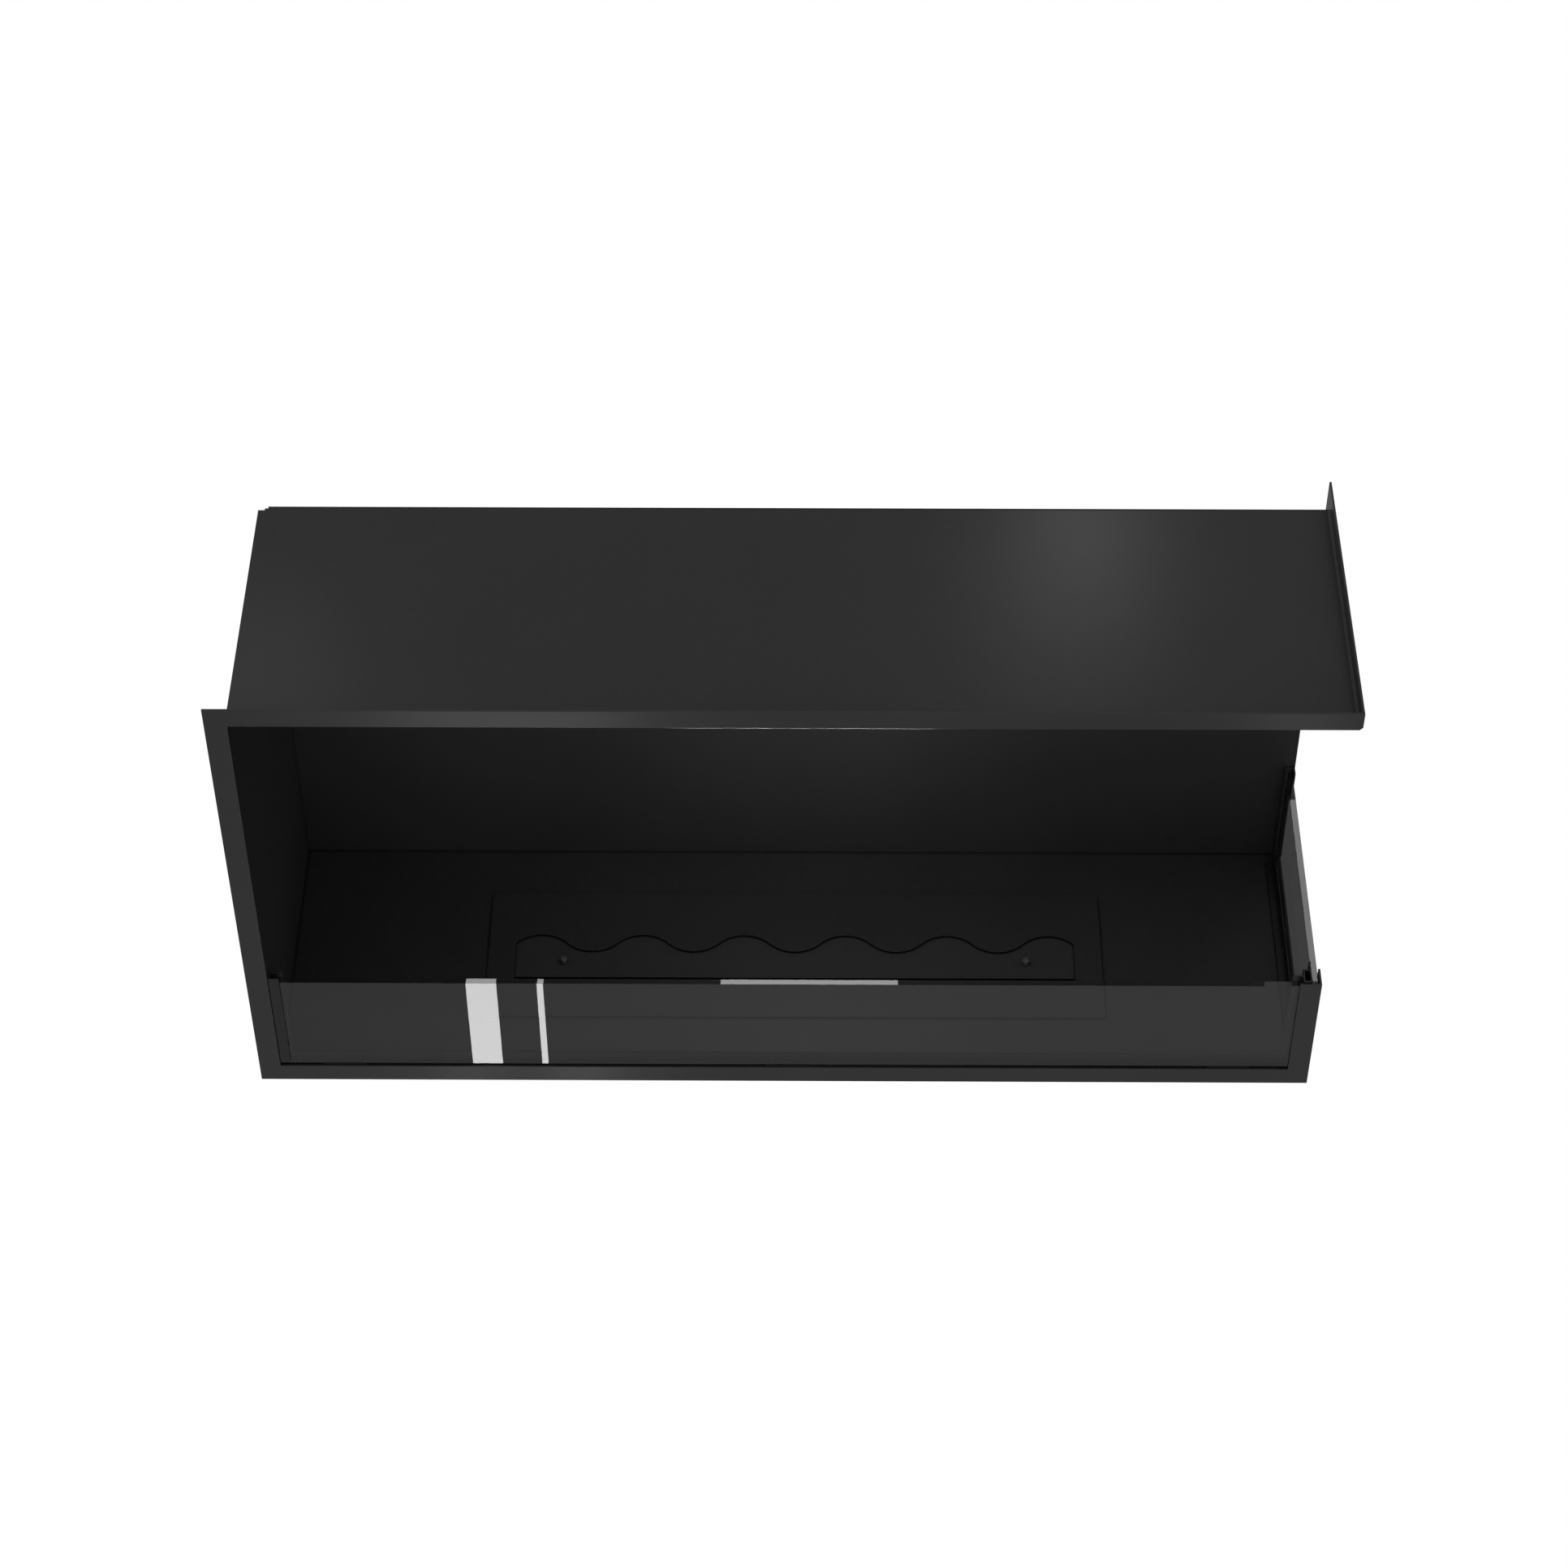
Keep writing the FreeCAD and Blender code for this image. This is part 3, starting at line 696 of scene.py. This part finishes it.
def dress(names: Iterable[str], material: bpy.types.Material, rounding: EdgeRound | None) -> None:
    """Give CAD nodes their finish and their edge rounds.

    Args:
        names: The nodes.
        material: Their finish.
        rounding: Their edge round, or None to leave them sharp.
    """
    for name in names:
        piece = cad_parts[name]
        piece.data.materials.clear()
        piece.data.materials.append(material)
        if rounding is not None:
            rounding.put_on(piece)
        LOG.info("dressed %s with %s", name, material.name)


def new_piece(
    name: str, mesh: bpy.types.Mesh, body: str, material: bpy.types.Material
) -> bpy.types.Object:
    """Make a Blender piece that rides on a CAD body.

    Args:
        name: The piece's name.
        mesh: Its mesh, in the frame's own coordinates.
        body: The body it rides on.
        material: Its finish.

    Returns:
        The new object.
    """
    piece = bpy.data.objects.new(name, mesh)
    bpy.context.scene.collection.objects.link(piece)
    piece.data.materials.append(material)
    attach(piece, body)
    LOG.info("built %s on %s", name, body)
    return piece


# ---------------------------------------------------------------- sub-assemblies
@dataclass
class WeldBead:
    """A ground fillet weld along an inside corner of two sheets, as a quarter-round bead."""

    name: str
    start: Vector
    end: Vector
    first_side: Vector
    second_side: Vector
    leg: float = 2.2 * MM
    steps_round: int = 5
    ripple_pitch: float = 6 * MM
    ripple_height: float = 0.12 * MM
    hollow_throat: float = 0.28

    def mesh(self) -> bpy.types.Mesh:
        """Return the bead: a closed strip of rings, each one slightly fuller or leaner than the last."""
        shape = bmesh.new()
        run = self.end - self.start
        count = max(2, int(run.length / self.ripple_pitch) * 2)
        rings = []
        for index in range(count + 1):
            centre = self.start + run * (index / count)
            leg = self.leg + self.ripple_height * (1 if index % 2 else -1)
            ring = [shape.verts.new(centre)]
            for step in range(self.steps_round + 1):
                turn = math.radians(90) * step / self.steps_round
                hollow = 1 - self.hollow_throat * math.sin(2 * turn)
                offset = self.first_side * math.cos(turn) + self.second_side * math.sin(turn)
                ring.append(shape.verts.new(centre + offset * leg * hollow))
            rings.append(ring)
        size = len(rings[0])
        for first, second in zip(rings, rings[1:]):
            for corner in range(size):
                after = (corner + 1) % size
                shape.faces.new((first[corner], first[after], second[after], second[corner]))
        shape.faces.new(list(reversed(rings[0])))
        shape.faces.new(rings[-1])
        bmesh.ops.recalc_face_normals(shape, faces=shape.faces)
        mesh = bpy.data.meshes.new(self.name)
        shape.to_mesh(mesh)
        shape.free()
        return mesh


@dataclass
class Casing:
    """The folded sheet casing, its trim frames and the well under its floor."""

    # The trim's coat is a lighter copy of the casing's coat; the extra tone is painted light on the trim.
    trim: PowderCoat = PowderCoat("trim_coating", 0.0395, Shine.SATIN)
    sheet: PowderCoat = PowderCoat("casing_coating", 0.026, Shine.SATIN)
    # The walls' coat is a darker copy of the floor's coat; the lower tone is painted shade on the back and
    # left walls.
    inside: PowderCoat = PowderCoat("hearth_coating", 0.0180, Shine.MATT)
    # The floor's stronger crevice setting paints a dark shade line along the edges of the burner cover that
    # lies on it.
    floor: PowderCoat = PowderCoat(
        "floor_coating", 0.020, Shine.MATT, crevice_shade=0.8, crevice_shade_reach=0.004, crevice_shade_start=0.90
    )
    trim_nodes: tuple[str, ...] = ("front_frame", "side_frame")
    sheet_nodes: tuple[str, ...] = ("top_panel",)
    inside_nodes: tuple[str, ...] = ("back_panel", "left_side_panel")
    floor_nodes: tuple[str, ...] = ("floor_panel", "burner_well")

    def build(self) -> None:
        """Dress the casing's nodes and lay its weld beads."""
        dress(self.trim_nodes, self.trim.material(), TRIM_EDGE)
        coat = self.sheet.material()
        dress(self.sheet_nodes, coat, SHEET_EDGE)
        dress(self.inside_nodes, self.inside.material(), SHEET_EDGE)
        dress(self.floor_nodes, self.floor.material(), SHEET_EDGE)
        for bead in self.beads():
            new_piece(bead.name, bead.mesh(), "casing", coat)

    def beads(self) -> list[WeldBead]:
        """Return the weld beads that join the roof to the trim that stands up round it."""
        low, high = (Vector(corner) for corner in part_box("top_panel"))
        up, left, back = Vector((0, 0, 1)), Vector((-1, 0, 0)), Vector((0, 1, 0))
        front_left = Vector((low.x, low.y, high.z))
        front_right = Vector((high.x, low.y, high.z))
        side = WeldBead("weld_roof_side", front_right, high, left, up)
        front = WeldBead("weld_roof_front", front_left, front_right, back, up)
        return [side, front]


@dataclass
class GlassGuards:
    """The two panes, and the channels, rails and pads that hold them."""

    glass: GuardGlass = GuardGlass()
    coat: PowderCoat = PowderCoat("channel_coating", 0.018, Shine.SILK, crevice_shade=0.48, crevice_shade_reach=0.005)
    pads: Silicone = Silicone()
    panes: tuple[str, ...] = ("front_glass", "side_glass")
    holders: tuple[str, ...] = (
        "glass_channel_left",
        "glass_channel_rear",
        "glass_channel_corner",
        "front_glass_rail",
        "side_glass_rail",
    )
    pad_nodes: tuple[str, ...] = ("front_glass_pads", "side_glass_pads")

    def build(self) -> None:
        """Dress the panes and what holds them."""
        dress(self.panes, self.glass.material(), FINE_EDGE)
        dress(self.holders, self.coat.material(), SHEET_EDGE)
        dress(self.pad_nodes, self.pads.material(), PAD_EDGE)


@dataclass
class Burner:
    """The drop-in burner: cover plate, box, fuel tank, wool, slot plate and rails."""

    coat: PowderCoat = PowderCoat("burner_coating", 0.020, Shine.MATT, wear=0.1, crevice_shade=0.9, cut_edge_shade=0.9)
    steel: BrushedSteel = BrushedSteel("tank_steel")
    wool: CeramicWool = CeramicWool()
    coated: tuple[str, ...] = ("burner_cover", "burner_box")
    bare: tuple[str, ...] = ("fuel_tank", "flame_slot_plate", "damper_rail_left", "damper_rail_right")

    def build(self) -> None:
        """Dress the burner's nodes."""
        dress(self.coated, self.coat.material(), PLATE_EDGE)
        dress(self.bare, self.steel.material(), FINE_EDGE)
        dress(("ceramic_wool",), self.wool.material(), WOOL_EDGE)


@dataclass
class Damper:
    """The wave-edged sliding damper with its two turned knobs."""

    plate: PowderCoat = PowderCoat("damper_coating", 0.029, Shine.MATT, wear=0.1, crevice_shade=0.9, cut_edge_shade=0.9)
    # The knob coat's light tone and its strong, lighter edge wear are painted highlight on the knobs' tops;
    # the wear also makes the rims glossier.
    knob: PowderCoat = PowderCoat("knob_coating", 0.07, Shine.SATIN, wear=0.9)
    screw: BrushedSteel = BrushedSteel("screw_steel", 0.45, 0.3)

    def build(self) -> None:
        """Dress the damper's nodes."""
        dress(("damper",), self.plate.material(), PLATE_EDGE)
        dress(("damper_knob_left", "damper_knob_right"), self.knob.material(), FINE_EDGE)
        dress(("knob_screws",), self.screw.material(), FINE_EDGE)


# ---------------------------------------------------------------- studio
@dataclass(frozen=True)
class Softbox:
    """A rectangular studio lamp that faces a point, and may light only the gloss of a few nodes."""

    name: str
    place: Sequence[float]
    target: Sequence[float]
    size: tuple[float, float]
    watts: float
    gloss_only: bool = False
    only_on: tuple[str, ...] = ()

    def build(self) -> bpy.types.Object:
        """Return the lamp, placed, aimed and lit."""
        data = bpy.data.lights.new(self.name, "AREA")
        data.shape = "RECTANGLE"
        data.size, data.size_y = self.size
        data.energy = self.watts
        lamp = bpy.data.objects.new(self.name, data)
        bpy.context.scene.collection.objects.link(lamp)
        lamp.location = self.place
        lamp.rotation_euler = (Vector(self.target) - Vector(self.place)).to_track_quat("-Z", "Y").to_euler()
        lamp.visible_camera = False
        lamp.visible_transmission = False
        lamp.visible_diffuse = not self.gloss_only
        if self.only_on:
            lit = bpy.data.collections.new(self.name + "_receivers")
            for name in self.only_on:
                lit.objects.link(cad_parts[name])
            lamp.light_linking.receiver_collection = lit
        LOG.info("lit %s", self.name)
        return lamp


@dataclass
class Studio:
    """The plain pale floor, the soft lamps and the camera."""

    floor_span: float = 24.0
    surround: float = 0.345
    floor_front: float = 0.295
    floor_rear: float = 0.28
    # Share of the floor's glow left beside the insert's right side, as painted shade.
    floor_side_shade: float = 0.36
    floor_half_fade: float = 0.3
    side_fade: float = 0.03
    side_lead: float = 0.01
    lens: float = 84.10
    camera_place: tuple[float, float, float] = (0.0198, -2.3701, 2.7480)
    camera_reach: Range = (0.05, 60.0)
    pitch: float = 46.222
    yaw: float = 0.485
    roll: float = -0.157
    lamps: list[Softbox] = field(default_factory=list)

    def build(self) -> None:
        """Make the floor, world, lamps and camera."""
        bpy.context.scene.view_settings.view_transform = "Standard"
        self.floor()
        self.world()
        for lamp in self.lamps:
            lamp.build()
        self.camera()

    def floor(self) -> None:
        """Lay the floor: white to the eye, a soft grey for what it throws back at the object."""
        bpy.ops.mesh.primitive_plane_add(size=self.floor_span, location=(0, 0, CAD_BOX[0][2]))
        plane = bpy.context.object
        plane.name = "studio_floor"
        made = bpy.data.materials.new("studio_floor")
        made.use_nodes = True
        canvas = Canvas(made.node_tree)
        made.node_tree.nodes.clear()
        place = canvas.node("ShaderNodeNewGeometry")
        parts = canvas.node("ShaderNodeSeparateXYZ")
        canvas.feed(parts.inputs["Vector"], place.outputs["Position"])
        # The grey glow stands in for light the floor throws back: it dims a little from front to rear, and
        # beside the insert's right side it is painted darker as shade.
        reach = self.floor_half_fade
        length = canvas.remap(parts.outputs["Y"], -reach, reach, self.floor_front, self.floor_rear)
        right, front = CAD_BOX[1][0], CAD_BOX[0][1]
        outward = canvas.remap(parts.outputs["X"], right - self.side_fade, right)
        behind = canvas.remap(parts.outputs["Y"], front - self.side_lead, front + self.side_fade)
        beside = canvas.math("MULTIPLY", outward, behind)
        tone = canvas.math("MULTIPLY", length, canvas.remap(beside, 0.0, 1.0, 1.0, self.floor_side_shade))
        thrown = canvas.node("ShaderNodeEmission")
        canvas.feed(thrown.inputs["Color"], canvas.mix_colour(tone, grey(0.0), grey(1.0)))
        seen = canvas.node("ShaderNodeEmission")
        canvas.feed(seen.inputs["Color"], grey(1.0))
        rays = canvas.node("ShaderNodeLightPath")
        blend = canvas.node("ShaderNodeMixShader")
        canvas.feed(blend.inputs["Fac"], rays.outputs["Is Camera Ray"])
        canvas.feed(blend.inputs[1], thrown.outputs["Emission"])
        canvas.feed(blend.inputs[2], seen.outputs["Emission"])
        output = canvas.node("ShaderNodeOutputMaterial")
        canvas.feed(output.inputs["Surface"], blend.outputs["Shader"])
        plane.data.materials.append(made)
        plane.visible_shadow = False

    def world(self) -> None:
        """Surround the scene with white to the eye and a dim grey for the object's reflections."""
        world = bpy.data.worlds.new("studio")
        bpy.context.scene.world = world
        world.use_nodes = True
        canvas = Canvas(world.node_tree)
        world.node_tree.nodes.clear()
        rays = canvas.node("ShaderNodeLightPath")
        tone = canvas.mix_colour(rays.outputs["Is Camera Ray"], grey(self.surround), grey(1.0))
        background = canvas.node("ShaderNodeBackground")
        canvas.feed(background.inputs["Color"], tone)
        output = canvas.node("ShaderNodeOutputWorld")
        canvas.feed(output.inputs["Surface"], background.outputs["Background"])

    def camera(self) -> None:
        """Stand the camera in front of the insert, looking down into it."""
        pitch, yaw, roll = (math.radians(turn) for turn in (self.pitch, self.yaw, self.roll))
        ahead = Vector((-math.sin(yaw) * math.cos(pitch), math.cos(yaw) * math.cos(pitch), -math.sin(pitch)))
        level = Vector((math.cos(yaw), math.sin(yaw), 0.0))
        upright = level.cross(ahead)
        right = math.cos(roll) * level + math.sin(roll) * upright
        above = -math.sin(roll) * level + math.cos(roll) * upright
        data = bpy.data.cameras.new("studio_camera")
        data.lens = self.lens
        data.clip_start, data.clip_end = self.camera_reach
        camera = bpy.data.objects.new("studio_camera", data)
        bpy.context.scene.collection.objects.link(camera)
        turn = Matrix((right, above, -ahead)).transposed()
        camera.matrix_world = Matrix.Translation(self.camera_place) @ turn.to_4x4()
        bpy.context.scene.camera = camera


REARWARD, DOWNWARD = Vector((0, 1, 0)), Vector((0, 0, -1))
TRIM = ("front_frame", "side_frame")
ROOF = ("top_panel",)
HEARTH = (
    "back_panel",
    "left_side_panel",
    "floor_panel",
    "burner_cover",
    "damper",
    "damper_knob_left",
    "damper_knob_right",
    "knob_screws",
    "glass_channel_left",
    "glass_channel_rear",
    "glass_channel_corner",
)


def roof_lamps() -> list[Softbox]:
    """Return the two small lamps behind the insert that leave soft pools of light on its roof."""
    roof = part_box("top_panel")[1][2]
    right_pool = Vector((0.265, 0.065, roof))
    left_pool = Vector((-0.455, -0.115, roof))
    right_lamp = right_pool + Vector((0.04, 0.40, 0.37))
    left_lamp = left_pool + Vector((-0.075, 0.35, 0.35))
    return [
        Softbox("roof_glow", right_lamp, right_pool, (0.12, 0.12), 0.09, gloss_only=True, only_on=ROOF),
        Softbox("roof_glow_left", left_lamp, left_pool, (0.16, 0.16), 0.0355, gloss_only=True, only_on=ROOF),
    ]


def trim_lamps() -> list[Softbox]:
    """Return the lamps that run soft lights along the trim strips and under the top strip's lip."""
    low, high = (Vector(corner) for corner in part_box("front_frame"))
    half_strip = 10 * MM
    bottom, top = low.z + half_strip, high.z - 2 * half_strip
    streak_x, streak_y = -0.27, low.y - 0.27
    trim_gloss = {"gloss_only": True, "only_on": TRIM}
    return [
        Softbox(
            "trim_streak",
            place=(streak_x, streak_y, 0.01),
            target=(streak_x, 0.0, 0.01),
            size=(0.22, 0.60),
            watts=0.36,
            **trim_gloss,
        ),
        Softbox(
            "trim_low",
            place=(streak_x, streak_y, -0.25),
            target=(streak_x, low.y, bottom),
            size=(0.06, 0.06),
            watts=0.24,
            **trim_gloss,
        ),
        Softbox(
            "trim_spot",
            place=(0.49, low.y - 0.25, 0.27),
            target=(0.45, 0.0, top),
            size=(0.06, 0.06),
            watts=0.0145,
            **trim_gloss,
        ),
        Softbox(
            "lip_glint",
            place=(0.02, -0.06, 0.30),
            target=(0.02, low.y, top),
            size=(0.22, 0.05),
            watts=2.8,
            gloss_only=True,
            only_on=("front_frame",),
        ),
    ]


def hearth_lamps() -> list[Softbox]:
    """Return the large low lamp in front and the two that light the inside."""
    return [
        Softbox("front_low", place=(0.05, -2.4, 0.5), target=(0.05, 0.0, 0.2), size=(1.2, 0.6), watts=4.1),
        Softbox(
            "hearth_top",
            place=(0.03, -0.12, 0.485),
            target=(0.03, 0.10, 0.10),
            size=(0.25, 0.02),
            watts=0.51,
            only_on=HEARTH,
        ),
        Softbox(
            "hearth_sheen",
            place=(0.06, -0.24, 0.08),
            target=(0.06, 0.13, 0.44),
            size=(0.30, 0.06),
            watts=0.34,
            gloss_only=True,
            only_on=("back_panel",),
        ),
    ]


def card(name: str, place: Vector, facing: Vector, size: Range, brightness: float, pane: str) -> Softbox:
    """Return one card of an even brightness that shows in one pane only.

    Args:
        name: The card's name.
        place: Its middle.
        facing: The direction it faces.
        size: Its width and height.
        brightness: Its radiance.
        pane: The pane that mirrors it.

    Returns:
        The card, as a lamp.
    """
    watts = math.pi * size[0] * size[1] * brightness
    return Softbox(name, place, place + facing, size, watts, gloss_only=True, only_on=(pane,))


@dataclass(frozen=True)
class PaneCards:
    """The pale cards that the panes mirror: two upright strips in front, and four that lie above."""

    upright_height: float = 126 * MM
    upright_middle: float = 70 * MM
    upright_gap: float = 27 * MM
    upright_brightness: float = 6.1
    above: float = 81 * MM
    behind: float = 71 * MM
    top_depth: float = 30 * MM
    top_brightness: float = 3.5
    wide: float = 29 * MM
    slim: float = 6 * MM
    middle: float = 170 * MM
    wide_x: float = -285.5 * MM
    slim_x: float = -230 * MM
    wide_top_x: float = -291 * MM
    slim_top_x: float = -234 * MM
    middle_x: float = 24 * MM
    side_size: Range = (40 * MM, 240 * MM)
    side_gap: float = 7 * MM
    side_y: float = 45 * MM
    side_above: float = 77 * MM
    side_brightness: float = 1.65

    def upright(self, name: str, x: float, width: float) -> Softbox:
        """Return an upright card in front of the front pane."""
        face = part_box("front_glass")[0][1]
        place = Vector((x, face - self.upright_gap, self.upright_middle))
        size = (width, self.upright_height)
        return card(name, place, REARWARD, size, self.upright_brightness, "front_glass")

    def lying(self, name: str, x: float, width: float) -> Softbox:
        """Return a card that lies above the front pane's top face."""
        low, high = (Vector(corner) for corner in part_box("front_glass"))
        place = Vector((x, (low.y + high.y) / 2 + self.behind, high.z + self.above))
        size = (width, self.top_depth)
        return card(name, place, DOWNWARD, size, self.top_brightness, "front_glass")

    def beside(self, name: str) -> Softbox:
        """Return the long card above the side pane's top face."""
        outer = Vector(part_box("side_glass")[1])
        place = Vector((outer.x + self.side_gap, self.side_y, outer.z + self.side_above))
        return card(name, place, DOWNWARD, self.side_size, self.side_brightness, "side_glass")

    def lamps(self) -> list[Softbox]:
        """Return all the cards."""
        return [
            self.upright("wide_card", self.wide_x, self.wide),
            self.upright("slim_card", self.slim_x, self.slim),
            self.lying("wide_card_top", self.wide_top_x, self.wide),
            self.lying("slim_card_top", self.slim_top_x, self.slim),
            self.lying("middle_card_top", self.middle_x, self.middle),
            self.beside("side_card_top"),
        ]


def studio_lamps() -> list[Softbox]:
    """Return the lamps and cards that light the insert."""
    return [*roof_lamps(), *trim_lamps(), *hearth_lamps(), *PaneCards().lamps()]


def main() -> None:
    """Dress and build each sub-assembly in order, then the studio."""
    logging.basicConfig(level=logging.INFO, format="%(name)s: %(message)s")
    for assembly in (Casing(), GlassGuards(), Burner(), Damper()):
        LOG.info("%s", type(assembly).__name__)
        assembly.build()
    Studio(lamps=studio_lamps()).build()


if __name__ == "__main__":
    main()
